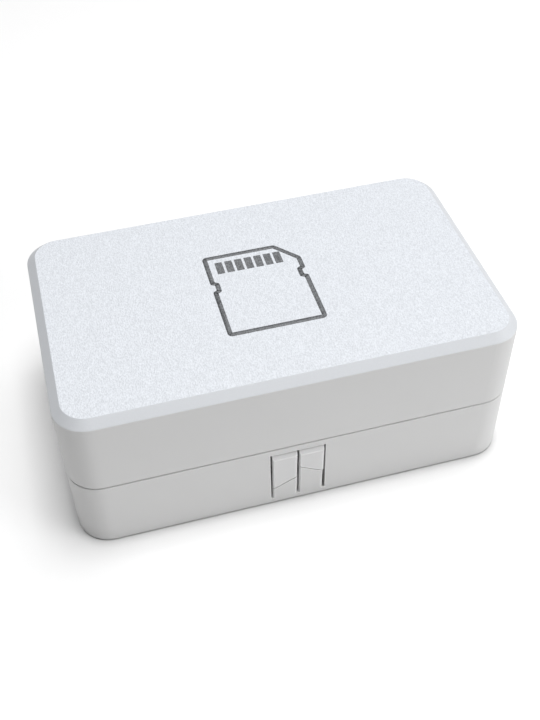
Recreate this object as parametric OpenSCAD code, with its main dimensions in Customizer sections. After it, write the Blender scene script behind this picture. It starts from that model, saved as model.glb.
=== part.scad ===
// Hard case for memory cards: a base and a hinged lid of moulded plastic, with two press tabs in the
// front wall that free the lid's spring hooks, and two comb racks that hold the cards upright.
// Millimetres. The origin is the middle of the underside, +X to the right, +Y to the back, +Z up.

/* [Case] */
// Length of the case, side to side
case_length = 115; // [114:0.5:150]
// Depth of the case, front to back, without hinges
case_depth = 70; // [64:0.5:90]
// Height of the closed case
case_height = 45; // [42:0.5:60]
// Height of the parting line above the table
seam_height = 21.7; // [20:0.1:24]
// Radius of the upright outer corners
corner_radius = 8.4; // [7:0.1:10]
// Thickness of the side walls
wall = 2.4; // [2.2:0.1:2.8]
// Thickness of the base's floor
floor_thickness = 2; // [1.6:0.1:2.4]
// Thickness of the lid's roof
roof_thickness = 2; // [1.6:0.1:3]
// Width of the lid's bevel, seen from above
bevel_width = 2.3; // [1:0.1:3]
// Height of the lid's bevel, seen from the side
bevel_height = 1.9; // [1:0.1:3]
// Radius that softens the moulded edges
edge_radius = 0.4; // [0.2:0.05:0.5]
// Rounding round the underside
bottom_radius = 0.8; // [0.4:0.1:1.2]

/* [Parting line] */
// Open groove between the rims of base and lid
seam_gap = 0.3; // [0.2:0.05:0.5]
// Height of the base's locating lip above the parting line
lip_height = 1.5; // [1:0.1:2]
// Thickness of the lid's skirt outside the lip
skirt_thickness = 1.15; // [1:0.05:1.2]
// Clearance between lip and skirt
lip_clearance = 0.15; // [0.1:0.05:0.25]

/* [Rear hinges] */
// Distance of each hinge's middle from the end of the case
hinge_end_distance = 25.5; // [21:0.5:33]
// Distance of the hinge axis from the rear wall
hinge_standoff = 2.6; // [2.5:0.1:3.2]
// Radius of the knuckles
knuckle_radius = 2.3; // [2:0.05:2.35]
// Diameter of the hinge pins
hinge_pin_diameter = 1.6; // [1.2:0.1:2]
// Length of each of the base's two knuckles
base_knuckle_length = 5; // [3:0.5:7]
// Length of the lid's knuckle between them
lid_knuckle_length = 7.6; // [5:0.2:10]
// Gap between knuckles along the pin
knuckle_gap = 0.2; // [0.1:0.05:0.4]
// Height of the gusset that carries each knuckle
gusset_height = 7; // [5:0.5:10]

/* [Latch tabs] */
// Sideways place of the pair of tabs
latch_x = -0.8; // [-4:0.1:4]
// Width of one tab
tab_width = 6.45; // [6.2:0.05:8]
// Slot between the two tabs
tab_spacing = 0.6; // [0.4:0.05:1]
// Slot between a tab and the wall beside it
side_slot = 0.5; // [0.4:0.05:0.8]
// Height of the wall strip left above the tabs
ledge_height = 2; // [1.6:0.1:2.4]
// Gap above the buttons
button_top_gap = 0.35; // [0.3:0.05:0.5]
// Height of the slots' lower ends
slot_bottom = 2.1; // [1.8:0.1:3]
// Outward lean of the tabs, in degrees
tab_lean = 2.25; // [0:0.25:2.5]
// Slant of the left tab's parting line, in degrees
left_slant = 27; // [0:1:28]
// Slant of the right tab's parting line, in degrees
right_slant = 31; // [0:1:32]
// Gap along the slanted parting lines
line_gap = 0.3; // [0.2:0.05:0.4]
// How much narrower the right tab's foot is than its button
right_foot_inset = 0.2; // [0:0.05:0.8]
// Thickness of the feet of the tabs
foot_thickness = 1.3; // [1.1:0.05:1.4]
// Thickness of a button's face plate
button_thickness = 1.4; // [1.2:0.05:1.45]
// Height of the slanted band along a button's top
button_band_height = 1.1; // [0.5:0.05:1.3]
// Depth of that band
button_band_depth = 1; // [0.4:0.05:1]
// Chamfer along the upright edges of the tabs
tab_edge = 0.35; // [0.1:0.05:0.4]

/* [Latch mechanism] */
// Height of the pin that the buttons rock on
latch_pin_height = 5.5; // [5.3:0.1:6]
// Diameter of that pin
latch_pin_diameter = 1.2; // [1:0.1:1.4]
// Running clearance of a lever on its pin, on the radius
pin_clearance = 0.06; // [0.02:0.01:0.1]
// Width of a button's leg
leg_width = 3.4; // [2.4:0.1:3.6]
// Thickness of a button's leg
leg_thickness = 2; // [1.6:0.1:2.2]
// Height of the bar that joins a button's plate and leg
bar_height = 1.5; // [1:0.1:1.6]
// Reach of a button's stop beyond the window
stop_reach = 1.1; // [0.8:0.1:1.6]
// Thickness of the carrier's cheeks
cheek_thickness = 1.2; // [1:0.1:1.3]
// Height of the carrier's cheeks
cheek_height = 8; // [7.8:0.1:8.2]
// Thickness of the carrier's plates
carrier_plate = 1.2; // [1:0.1:1.3]
// Thickness of the button springs
spring_thickness = 0.3; // [0.2:0.05:0.35]
// Width of the button springs
spring_width = 1; // [0.8:0.05:1.1]
// Distance of the carrier's screws from the middle of the latch
carrier_screw_offset = 10.2; // [9.8:0.1:12]
// Shank diameter of the carrier's and hooks' screws
screw_diameter = 2; // [1.6:0.1:2.2]

/* [Lid hooks] */
// Width of a hook's springy arm
hook_width = 3.5; // [2.5:0.1:4]
// Thickness of the arm
hook_thickness = 1.1; // [0.9:0.05:1.2]
// Width of a hook's mounting plate
hook_plate_width = 6; // [5:0.1:6.3]
// Height of the mounting plate
hook_plate_height = 9; // [8:0.5:10]
// Height of the hook's tooth
tooth_height = 3.4; // [3:0.1:3.6]
// Grip of the tooth under the front wall's ledge
tooth_grip = 1.25; // [0.8:0.05:1.25]
// Gap between tooth and ledge
tooth_gap = 0.3; // [0.2:0.05:0.5]
// Height of the lid's pads that the hooks are screwed to
pad_thickness = 2; // [1.8:0.1:2.4]

/* [Card racks] */
// Columns of cards in each rack. Two in this length leave 24.6 mm for a card's 24 mm width.
rack_columns = 2; // [2, 3]
// Height of a card
card_height = 32; // [24:0.5:32]
// Thickness of a card
card_thickness = 2.1; // [1:0.1:2.4]
// Play of a card's thickness in its groove
groove_play = 0.4; // [0.2:0.1:0.8]
// Distance from one card to the next
row_pitch = 5.5; // [4.5:0.1:8]
// Thickness of the combs' plates
comb_thickness = 1.6; // [1.2:0.1:1.6]
// Height of the combs above the rack's floor
comb_height = 14.4; // [8:0.2:16]
// Depth of the grooves that hold the cards' edges
groove_depth = 1.6; // [1:0.1:2.5]
// Length of the tongues that hold a comb in the rack's floor
tongue_length = 6; // [4:0.5:9]
// Thickness of the racks' floor
rack_floor = 1.4; // [1.2:0.1:2]
// Thickness of the racks' end walls
rack_end = 1.2; // [1:0.1:2]
// Space between the racks and the rear wall
rack_rear_gap = 1.5; // [1.2:0.1:3]
// Space between a rack and the side wall, and between it and the middle of the case
rack_side_gap = 0.55; // [0.3:0.05:1]
// Height of the bosses under the racks
rack_boss_height = 1.2; // [0.8:0.1:2]
// Space above the cards under the lid's ribs
rib_clearance = 0.8; // [0.4:0.1:2]
// Thickness of the lid's ribs
rib_thickness = 1.2; // [1:0.1:2]

/* [Hidden] */
$fn = 48;

white = [0.93, 0.93, 0.93];
grey = [0.62, 0.64, 0.66];
cream = [0.88, 0.87, 0.82];
steel = [0.70, 0.71, 0.73];

// Overlap that makes joined solids one body
weld = 0.2;
// Reach of a cut past the face it opens
past = 1;

// Planes of the case
front_face = -case_depth / 2;
front_inner = front_face + wall;
rear_face = case_depth / 2;
rear_inner = rear_face - wall;
inner_half = case_length / 2 - wall;
roof_inner = case_height - roof_thickness;
base_rim = seam_height - seam_gap / 2;
lid_rim = seam_height + seam_gap / 2;
lip_top = seam_height + lip_height;

// Hinges
hinge_offset = case_length / 2 - hinge_end_distance;
hinge_y = rear_face + hinge_standoff;
hinge_length = 2 * base_knuckle_length + lid_knuckle_length + 2 * knuckle_gap;
hinge_pin_inset = 0.2;
knuckle_rest = 0.2;

// Heights in the latch, from the ledge down
arm_tail = 0.3;
bar_clearance = 0.6;
foot_clearance = 0.4;
window_top = seam_height - ledge_height;
button_top = window_top - button_top_gap;
tooth_top = window_top - tooth_gap;
tooth_bottom = tooth_top - tooth_height;
arm_bottom = tooth_bottom - arm_tail;
bar_top = arm_bottom - bar_clearance;
bar_bottom = bar_top - bar_height;
foot_peak = bar_bottom - foot_clearance;
foot_middle = foot_peak - tab_width * tan(right_slant);

// Sideways places in the latch, from its middle
cheek_inset = 0.15;
cheek_side_play = 0.2;
tab_inner = tab_spacing / 2;
tab_outer = tab_inner + tab_width;
tab_centre = tab_inner + tab_width / 2;
window_half = tab_outer + side_slot;
cheek_outer = tab_outer - cheek_inset;
middle_cheek_half = tab_centre - leg_width / 2 - cheek_side_play;

// Depths in the latch, from the front wall inwards
leg_gap = 0.3;
carrier_gap = 0.2;
pin_to_foot = 0.9;
eye_wall = 0.7;
leg_play = 0.5;
stop_gap = 0.1;
bar_overhang = 0.2;
foot_back = front_face + foot_thickness;
latch_pin_y = foot_back + pin_to_foot + latch_pin_diameter / 2;
leg_front = foot_back + leg_gap;
leg_back = leg_front + leg_thickness;
leg_end_radius = latch_pin_diameter / 2 + eye_wall;
carrier_front = foot_back + carrier_gap;
carrier_back = leg_back + leg_play + carrier_plate;
stop_front = front_inner + stop_gap;
bar_back = leg_back + bar_overhang;

// Carrier: its lift off the floor, the height of its back plate over the pin, and its screwed ears
carrier_lift = 0.2;
back_plate_rise = 1.5;
ear_bottom = 5;
ear_thickness = 1.6;
ear_gap = 0.4;
boss_gap = 0.3;
boss_skin = 0.8;
carrier_boss_radius = 2.3;
carrier_base = floor_thickness + carrier_lift;
back_plate_top = latch_pin_height + back_plate_rise;
ear_top = ear_bottom + ear_thickness;
carrier_boss_y = front_inner + carrier_boss_radius + boss_gap;
ear_front = front_inner + ear_gap;
ear_back = carrier_boss_y + carrier_boss_radius;

// Screws of the carrier and the hooks
screw_head_radius = screw_diameter * 0.9;
screw_head_height = 1.2;
screw_head_edge = 0.3;
screw_hole_play = 0.3;
boss_screw_length = 5.2;
hook_screw_length = 4.2;

// Hooks
plate_lift = 2.6;
plate_screw_inset = 2.3;
plate_shoulder = 1.2;
pad_margin = 0.4;
tooth_land = 0.9;
pad_face = front_inner + pad_thickness;
hook_back = pad_face + hook_thickness;
tooth_tip = front_inner - tooth_grip;
hook_plate_bottom = lip_top + plate_lift;
hook_plate_top = hook_plate_bottom + hook_plate_height;

// Button springs
spring_foot_gap = 0.15;
spring_foot_depth = 1.6;
spring_foot_rise = 0.6;
spring_tip_drop = 1.4;
spring_contact_gap = 0.05;
spring_foot_y = latch_pin_y + latch_pin_diameter / 2 + spring_foot_gap;
spring_foot_bottom = cheek_height - spring_foot_depth;
spring_bend = cheek_height + spring_foot_rise;
spring_tip_z = foot_peak - spring_tip_drop;
button_back = front_face + button_thickness;
spring_tip_y = button_back - (spring_tip_z - slot_bottom) * tan(tab_lean) + spring_contact_gap;
spring_x = cheek_outer - cheek_thickness / 2;

// Racks
rack_front_gap = 2.6;
rack_corner_gap = 1;
tooth_lead = 1.2;
tongue_count = 3;
rack_boss_radius = 3;
rack_screw_radius = 1;
rack_screw_head_radius = 1.9;
rack_screw_depth = 0.8;
rack_screw_tip = 0.3;
rack_recess_depth = 0.5;
rack_width = inner_half - 2 * rack_side_gap;
rack_x = inner_half / 2;
column_pitch = (rack_width - comb_thickness) / rack_columns;
groove_width = card_thickness + groove_play;
rack_back = rear_inner - rack_rear_gap;
rack_front_limit = hook_back + rack_front_gap;
rows = floor((rack_back - rack_front_limit - 2 * rack_end) / row_pitch);
rack_front = rack_back - rows * row_pitch - 2 * rack_end;
rack_bottom = floor_thickness + rack_boss_height;
rack_floor_top = rack_bottom + rack_floor;
rack_top = rack_floor_top + comb_height;
rack_corner_radius = corner_radius - wall - rack_corner_gap;
rack_screw_end = floor_thickness - rack_screw_depth;
rack_screw_rows = [2, rows - 2];
rib_bottom = rack_floor_top + card_height + rib_clearance;

// Points of a rounded corner of a profile, about a centre, from one angle to another
function arc(x, y, r, from, to, steps = 4) =
    [for (i = [0:steps]) let (a = from + (to - from) * i / steps) [x + r * cos(a), y + r * sin(a)]];

// Height of a tab's parting line above the table, at a distance x from the latch's middle
function left_line(x) = foot_middle + (x + tab_inner) * tan(left_slant);
function right_line(x) = foot_peak - (x - tab_inner) * tan(right_slant);

// Middle of rack column i and groove row j, from the rack's own middle and front
function column_x(i) = (i - (rack_columns - 1) / 2) * column_pitch;
function row_y(j) = rack_front + rack_end + j * row_pitch;

// Sweeps a profile round a rectangle with round corners. The profile's X is measured outwards from
// the corners' centres, and its Y is the height.
module sweep_round_rectangle(length, depth, radius) {
    for (k = [0:3]) {
        run = k % 2 == 0 ? length : depth;
        across = k % 2 == 0 ? depth : length;
        rotate([0, 0, 90 * k]) {
            translate([run / 2 - radius, -(across / 2 - radius), 0])
                rotate([90, 0, -90])
                    linear_extrude(run - 2 * radius) children();
            translate([run / 2 - radius, -(across / 2 - radius), 0])
                rotate([0, 0, -90])
                    rotate_extrude(angle = 90, $fn = 96) children();
        }
    }
}

// Extrudes a profile drawn in depth (X) and height (Y) along the case's length, between two places
module along_x(from, to) {
    translate([from, 0, 0])
        rotate([90, 0, 90])
            linear_extrude(to - from) children();
}

// Extrudes an outline drawn in X and height (Y) from front to back, between two depths
module along_y(from, to) {
    translate([0, to, 0])
        rotate([90, 0, 0])
            linear_extrude(to - from) children();
}

// Outline of one foot of the tabs, from the slots' lower ends to its slanted top
module left_foot_outline() {
    polygon([[-tab_outer, slot_bottom - past], [-tab_inner, slot_bottom - past],
             [-tab_inner, left_line(-tab_inner)], [-tab_outer, left_line(-tab_outer)]]);
}

module right_foot_outline() {
    edge = tab_outer - right_foot_inset;
    polygon([[tab_inner, slot_bottom - past], [edge, slot_bottom - past],
             [edge, right_line(edge)], [tab_inner, right_line(tab_inner)]]);
}

// Opening of the front wall: one window with the two feet left standing in it
module window_outline() {
    difference() {
        translate([-window_half, slot_bottom])
            square([2 * window_half, window_top - slot_bottom]);
        left_foot_outline();
        right_foot_outline();
    }
}

// Wedge between the front wall's plane and the leaning plane of the tabs
module lean_wedge() {
    reach = (foot_peak - slot_bottom) * tan(tab_lean);
    along_x(-tab_outer, tab_outer)
        polygon([[foot_back, slot_bottom], [front_face, slot_bottom],
                 [front_face - reach, foot_peak], [foot_back, foot_peak]]);
}

// Proud parts of the two feet, between the wall's plane and the leaning plane
module leaning_feet() {
    intersection() {
        lean_wedge();
        along_y(front_face - past, foot_back + past)
            union() {
                left_foot_outline();
                right_foot_outline();
            }
    }
}

// Square bars, turned by 45 degrees, that chamfer the feet's upright edges along the leaning plane
module foot_edge_cutters() {
    side = sqrt(2) * tab_edge;
    intersection() {
        for (x = [-tab_outer, -tab_inner, tab_inner, tab_outer - right_foot_inset])
            translate([x, front_face, slot_bottom])
                rotate([tab_lean, 0, 0])
                    rotate([0, 0, 45])
                        translate([-side / 2, -side / 2, -past])
                            cube([side, side, foot_peak]);
        along_x(-window_half, window_half)
            translate([front_face - wall, slot_bottom]) square([2 * wall, foot_peak]);
    }
}

// Profile of the base's wall with its share of the floor, from the corner's centre outwards
module base_profile() {
    r = edge_radius;
    lip_edge = 0.3;
    polygon(concat(
        [[0, 0]],
        arc(corner_radius - bottom_radius, bottom_radius, bottom_radius, -90, 0, 6),
        arc(corner_radius - r, base_rim - r, r, 0, 90),
        [[corner_radius - skirt_thickness - lip_clearance, base_rim],
         [corner_radius - skirt_thickness - lip_clearance, lip_top - lip_edge],
         [corner_radius - skirt_thickness - lip_clearance - lip_edge, lip_top],
         [corner_radius - wall, lip_top],
         [corner_radius - wall, floor_thickness],
         [0, floor_thickness]]));
}

// Profile of the lid's wall with its share of the roof
module lid_profile() {
    r = edge_radius;
    slope = atan2(bevel_height, bevel_width);
    // The bevel's two edges are softened by arcs that touch the faces beside them
    lower_cut = r * tan((90 - slope) / 2);
    upper_cut = r * tan(slope / 2);
    rim_r = r / 2;
    polygon(concat(
        [[corner_radius - skirt_thickness, lid_rim]],
        arc(corner_radius - rim_r, lid_rim + rim_r, rim_r, -90, 0, 3),
        arc(corner_radius - r, case_height - bevel_height - lower_cut, r, 0, 90 - slope, 3),
        arc(corner_radius - bevel_width - upper_cut, case_height - r, r, 90 - slope, 90, 3),
        [[0, case_height],
         [0, roof_inner],
         [corner_radius - wall, roof_inner],
         [corner_radius - wall, lip_top + seam_gap],
         [corner_radius - skirt_thickness, lip_top + seam_gap]]));
}

// Profile of a hinge knuckle and its gusset, for the base. The lid's is its mirror image.
module knuckle_profile() {
    foot = [-hinge_standoff, -gusset_height];
    reach = norm(foot);
    tangent = atan2(foot[1], foot[0]) + acos(knuckle_radius / reach);
    rest = seam_gap / 2 + knuckle_rest;
    circle(r = knuckle_radius);
    polygon([[-hinge_standoff - weld, -rest], [0, -rest],
             [knuckle_radius * cos(tangent), knuckle_radius * sin(tangent)],
             foot, foot - [weld, 0]]);
}

module base_knuckle(from, to) {
    along_x(from, to)
        translate([hinge_y, seam_height]) knuckle_profile();
}

module lid_knuckle(from, to) {
    along_x(from, to)
        translate([hinge_y, seam_height]) mirror([0, 1]) knuckle_profile();
}

module hinge_bore(radius) {
    for (side = [-1, 1])
        translate([side * hinge_offset - hinge_length / 2 - past, hinge_y, seam_height])
            rotate([0, 90, 0]) cylinder(h = hinge_length + 2 * past, r = radius);
}

// Bosses of the base: two behind the front wall for the latch carrier, two under each rack
module base_bosses() {
    for (side = [-1, 1])
        translate([latch_x + side * carrier_screw_offset, 0, 0]) {
            translate([0, carrier_boss_y, floor_thickness - weld])
                cylinder(h = ear_bottom - floor_thickness + weld, r = carrier_boss_radius);
            translate([-carrier_boss_radius / 2, front_inner - weld, floor_thickness - weld])
                cube([carrier_boss_radius, carrier_boss_radius, ear_bottom - floor_thickness + weld]);
        }
    rack_screw_places()
        translate([0, 0, floor_thickness - weld])
            cylinder(h = rack_boss_height + weld, r = rack_boss_radius);
}

module base_shell() {
    color(white)
    difference() {
        union() {
            sweep_round_rectangle(case_length, case_depth, corner_radius) base_profile();
            translate([-(case_length / 2 - corner_radius), -(case_depth / 2 - corner_radius), 0])
                cube([case_length - 2 * corner_radius, case_depth - 2 * corner_radius,
                      floor_thickness]);
            base_bosses();
            translate([latch_x, 0, 0]) leaning_feet();
            for (side = [-1, 1], end = [-1, 1]) {
                outer = side * hinge_offset + end * hinge_length / 2;
                inner = outer - end * base_knuckle_length;
                base_knuckle(min(outer, inner), max(outer, inner));
            }
        }
        translate([latch_x, 0, 0]) {
            along_y(front_face - past, front_inner + past) window_outline();
            foot_edge_cutters();
            translate([-window_half, foot_back, floor_thickness])
                cube([2 * window_half, wall - foot_thickness + weld,
                      foot_peak + weld - floor_thickness]);
            for (side = [-1, 1])
                translate([side * carrier_screw_offset, carrier_boss_y, boss_skin])
                    cylinder(h = ear_bottom, r = screw_diameter / 2);
        }
        rack_screw_places()
            translate([0, 0, rack_screw_end])
                cylinder(h = rack_bottom, r = rack_screw_radius);
        hinge_bore(hinge_pin_diameter / 2);
    }
}

// Ribs under the roof, one over the middle of each column of cards
module hold_down_ribs() {
    for (side = [-1, 1], i = [0:rack_columns - 1])
        translate([side * rack_x + column_x(i) - rib_thickness / 2, rack_front, rib_bottom])
            cube([rib_thickness, rack_back - rack_front, roof_inner - rib_bottom + weld]);
}

module hook_pads() {
    for (side = [-1, 1]) {
        width = hook_plate_width + 2 * pad_margin;
        height = hook_plate_height + 2 * pad_margin;
        translate([latch_x + side * tab_centre - width / 2, front_inner - weld,
                   hook_plate_bottom - pad_margin])
            cube([width, pad_thickness + weld, height]);
    }
}

module lid_shell() {
    color(white)
    difference() {
        union() {
            sweep_round_rectangle(case_length, case_depth, corner_radius) lid_profile();
            translate([-(case_length / 2 - corner_radius), -(case_depth / 2 - corner_radius),
                       roof_inner])
                cube([case_length - 2 * corner_radius, case_depth - 2 * corner_radius,
                      roof_thickness]);
            hold_down_ribs();
            hook_pads();
            for (side = [-1, 1])
                lid_knuckle(side * hinge_offset - lid_knuckle_length / 2,
                            side * hinge_offset + lid_knuckle_length / 2);
        }
        hook_screw_places()
            cylinder(h = hook_screw_length, r = screw_diameter / 2);
        hinge_bore(hinge_pin_diameter / 2 + pin_clearance);
    }
}

module hinge_pin(side) {
    length = hinge_length - 2 * hinge_pin_inset;
    color(steel)
        translate([side * hinge_offset - length / 2, hinge_y, seam_height])
            rotate([0, 90, 0]) cylinder(h = length, r = hinge_pin_diameter / 2);
}

module hinge_pin_left() { hinge_pin(-1); }
module hinge_pin_right() { hinge_pin(1); }

// Bracket behind the feet: three cheeks for the pin, a floor and back plate, and two screwed ears
module latch_carrier() {
    color(white)
    translate([latch_x, 0, 0])
    difference() {
        union() {
            for (x = [[-cheek_outer, cheek_thickness - cheek_outer],
                      [-middle_cheek_half, middle_cheek_half],
                      [cheek_outer - cheek_thickness, cheek_outer]])
                translate([x[0], carrier_front, carrier_base])
                    cube([x[1] - x[0], carrier_back - carrier_front, cheek_height - carrier_base]);
            translate([-cheek_outer, carrier_front, carrier_base])
                cube([2 * cheek_outer, carrier_back - carrier_front, carrier_plate]);
            translate([-cheek_outer, carrier_back - carrier_plate, carrier_base])
                cube([2 * cheek_outer, carrier_plate, back_plate_top - carrier_base]);
            for (side = [-1, 1])
                mirror([side < 0 ? 1 : 0, 0, 0]) {
                    translate([cheek_outer - weld, ear_front, ear_bottom])
                        cube([carrier_screw_offset - cheek_outer + weld,
                              ear_back - ear_front, ear_thickness]);
                    translate([carrier_screw_offset, carrier_boss_y, ear_bottom])
                        cylinder(h = ear_thickness, r = carrier_boss_radius);
                }
        }
        for (side = [-1, 1]) {
            translate([side * carrier_screw_offset, carrier_boss_y, ear_bottom - past])
                cylinder(h = ear_thickness + 2 * past, r = (screw_diameter + screw_hole_play) / 2);
            translate([side * spring_x - cheek_thickness / 2 - past, spring_foot_y, spring_foot_bottom])
                cube([cheek_thickness + 2 * past, spring_thickness, cheek_height]);
        }
        translate([-cheek_outer - past, latch_pin_y, latch_pin_height])
            rotate([0, 90, 0]) cylinder(h = 2 * (cheek_outer + past), r = latch_pin_diameter / 2);
    }
}

// Pan-head screw along Z, its head's underside at the origin and its shank downwards
module pan_screw(length) {
    translate([0, 0, -length]) cylinder(h = length, r = screw_diameter / 2);
    cylinder(h = screw_head_height - screw_head_edge, r = screw_head_radius);
    translate([0, 0, screw_head_height - screw_head_edge])
        cylinder(h = screw_head_edge, r1 = screw_head_radius,
                 r2 = screw_head_radius - screw_head_edge);
}

module latch_carrier_screws() {
    color(steel)
    for (side = [-1, 1])
        translate([latch_x + side * carrier_screw_offset, carrier_boss_y, ear_top])
            pan_screw(boss_screw_length);
}

module latch_pin() {
    color(steel)
    translate([latch_x - cheek_outer, latch_pin_y, latch_pin_height])
        rotate([0, 90, 0]) cylinder(h = 2 * cheek_outer, r = latch_pin_diameter / 2);
}

// Face plate of a button, standing upright on the lean's axis: X across, -Y outwards, Z up the face
module button_plate(from, to, low_left, low_right) {
    rise = button_top - slot_bottom;
    intersection() {
        along_y(-past, button_thickness)
            polygon([[from, low_left], [to, low_right], [to, rise], [from, rise]]);
        along_x(from, to)
            polygon([[button_thickness, 0], [0, 0], [0, rise - button_band_height],
                     [button_band_depth, rise], [button_thickness, rise]]);
        linear_extrude(rise)
            polygon([[from, button_thickness], [from, tab_edge], [from + tab_edge, 0],
                     [to - tab_edge, 0], [to, tab_edge], [to, button_thickness]]);
    }
}

// One press tab: a leaning face plate, a bar with a stop, and a leg that rocks on the pin
module latch_button(side, low_left, low_right) {
    from = side < 0 ? -tab_outer : tab_inner;
    to = side < 0 ? -tab_inner : tab_outer;
    stop = window_half + stop_reach;
    bar_front = front_face + button_thickness / 2;
    color(white)
    translate([latch_x, 0, 0])
    difference() {
        union() {
            translate([0, front_face, slot_bottom])
                rotate([tab_lean, 0, 0])
                    button_plate(from, to, low_left - slot_bottom, low_right - slot_bottom);
            translate([from, bar_front, bar_bottom])
                cube([tab_width, bar_back - bar_front, bar_height]);
            translate([side < 0 ? -stop : tab_outer - weld, stop_front, bar_bottom])
                cube([stop - tab_outer + weld, bar_back - stop_front, bar_height]);
            translate([side * tab_centre - leg_width / 2, leg_front, latch_pin_height])
                cube([leg_width, leg_thickness, bar_top - latch_pin_height]);
            translate([side * tab_centre - leg_width / 2, latch_pin_y, latch_pin_height])
                rotate([0, 90, 0]) cylinder(h = leg_width, r = leg_end_radius);
        }
        translate([side * tab_centre - leg_width, latch_pin_y, latch_pin_height])
            rotate([0, 90, 0])
                cylinder(h = 2 * leg_width, r = latch_pin_diameter / 2 + pin_clearance);
    }
}

module latch_button_left() {
    lift = line_gap / cos(left_slant);
    latch_button(-1, left_line(-tab_outer) + lift, left_line(-tab_inner) + lift);
}

module latch_button_right() {
    lift = line_gap / cos(right_slant);
    latch_button(1, right_line(tab_inner) + lift, right_line(tab_outer) + lift);
}

// Flat spring that stands in a slot of the carrier's cheek and leans on the back of a button
module button_spring(side) {
    color(steel)
    translate([latch_x + side * spring_x, 0, 0])
    along_x(-spring_width / 2, spring_width / 2)
        polygon([[spring_foot_y, spring_foot_bottom],
                 [spring_foot_y + spring_thickness, spring_foot_bottom],
                 [spring_foot_y + spring_thickness, spring_bend],
                 [spring_tip_y + spring_thickness, spring_tip_z],
                 [spring_tip_y, spring_tip_z],
                 [spring_foot_y, spring_bend]]);
}

module button_spring_left() { button_spring(-1); }
module button_spring_right() { button_spring(1); }

// Places of the hooks' screws, on the pads' faces, with +Z into the front wall
module hook_screw_places() {
    for (side = [-1, 1],
         z = [hook_plate_bottom + plate_screw_inset, hook_plate_top - plate_screw_inset])
        translate([latch_x + side * tab_centre, pad_face, z])
            rotate([90, 0, 0]) children();
}

// Springy hook of the lid: a screwed plate, an arm and a tooth that snaps under the front wall
module lid_catch(side) {
    color(cream)
    difference() {
        translate([latch_x + side * tab_centre, 0, 0]) {
            along_y(pad_face, hook_back)
                union() {
                    translate([-hook_plate_width / 2, hook_plate_bottom])
                        square([hook_plate_width, hook_plate_height]);
                    polygon([[-hook_width / 2, arm_bottom], [hook_width / 2, arm_bottom],
                             [hook_width / 2, hook_plate_bottom - plate_shoulder],
                             [hook_plate_width / 2, hook_plate_bottom],
                             [-hook_plate_width / 2, hook_plate_bottom],
                             [-hook_width / 2, hook_plate_bottom - plate_shoulder]]);
                }
            along_x(-hook_width / 2, hook_width / 2)
                polygon([[pad_face + weld, tooth_top], [tooth_tip, tooth_top],
                         [tooth_tip, tooth_top - tooth_land], [pad_face, tooth_bottom],
                         [pad_face + weld, tooth_bottom]]);
        }
        hook_screw_places()
            translate([0, 0, -hook_thickness - past])
                cylinder(h = hook_thickness + 2 * past, r = (screw_diameter + screw_hole_play) / 2);
    }
}

module lid_catch_left() { lid_catch(-1); }
module lid_catch_right() { lid_catch(1); }

module lid_catch_screws() {
    color(steel)
    hook_screw_places()
        translate([0, 0, -hook_thickness])
            rotate([180, 0, 0]) pan_screw(hook_screw_length);
}

// Places of the racks' screws, on the floor, in the middle of each rack's first and last column
module rack_screw_places() {
    for (side = [-1, 1])
        translate([side * rack_x, 0, 0]) rack_screw_pair() children();
}

module rack_screw_pair() {
    translate([column_x(0), row_y(rack_screw_rows[0]), 0]) children();
    translate([column_x(rack_columns - 1), row_y(rack_screw_rows[1]), 0]) children();
}

// Tooth between two grooves, drawn in depth and height, with a lead-in at its top
module comb_tooth() {
    half = (row_pitch - groove_width) / 2;
    tip = half - tooth_lead / 2;
    polygon([[-half, 0], [half, 0], [half, comb_height - tooth_lead], [tip, comb_height],
             [-tip, comb_height], [-half, comb_height - tooth_lead]]);
}

// Outline of the right side's rack, about its own middle in X. Its rear corner follows the case's.
module rack_outline() {
    depth = rack_back - rack_front;
    r = rack_corner_radius;
    translate([-rack_width / 2, rack_front]) square([rack_width - r, depth]);
    translate([-rack_width / 2, rack_front]) square([rack_width, depth - r]);
    translate([rack_width / 2 - r, rack_back - r]) circle(r = r);
}

// Left edge of comb i of a rack, and the places of its tongues from front to back
function comb_left(i) = i * column_pitch - rack_width / 2;
function tongue_front(k) = rack_front + rack_end - tongue_length / 2
    + (k + 0.5) * rows * row_pitch / tongue_count;

// Tongues under comb i, or with a margin the slots for them. A slot at the rack's edge is open.
module comb_tongues(i, edge_margin = 0, depth_margin = 0) {
    left = i == 0 ? edge_margin : 0;
    right = i == rack_columns ? edge_margin : 0;
    for (k = [0:tongue_count - 1])
        translate([comb_left(i) - left, tongue_front(k), rack_bottom - depth_margin])
            cube([comb_thickness + left + right, tongue_length, rack_floor + 2 * depth_margin]);
}

// Tray of a rack: a floor and two end walls
module rack_tray() {
    difference() {
        union() {
            translate([0, 0, rack_bottom])
                linear_extrude(rack_floor) rack_outline();
            translate([0, 0, rack_bottom])
                linear_extrude(rack_top - rack_bottom)
                    intersection() {
                        rack_outline();
                        for (y = [rack_front, rack_back - rack_end])
                            translate([-rack_width / 2, y]) square([rack_width, rack_end]);
                    }
        }
        for (i = [0:rack_columns])
            comb_tongues(i, past, past);
        rack_screw_pair()
            translate([0, 0, rack_bottom - past])
                cylinder(h = rack_floor + 2 * past, r = rack_screw_radius + screw_hole_play / 2);
        rack_screw_pair()
            countersink();
    }
}

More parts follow.
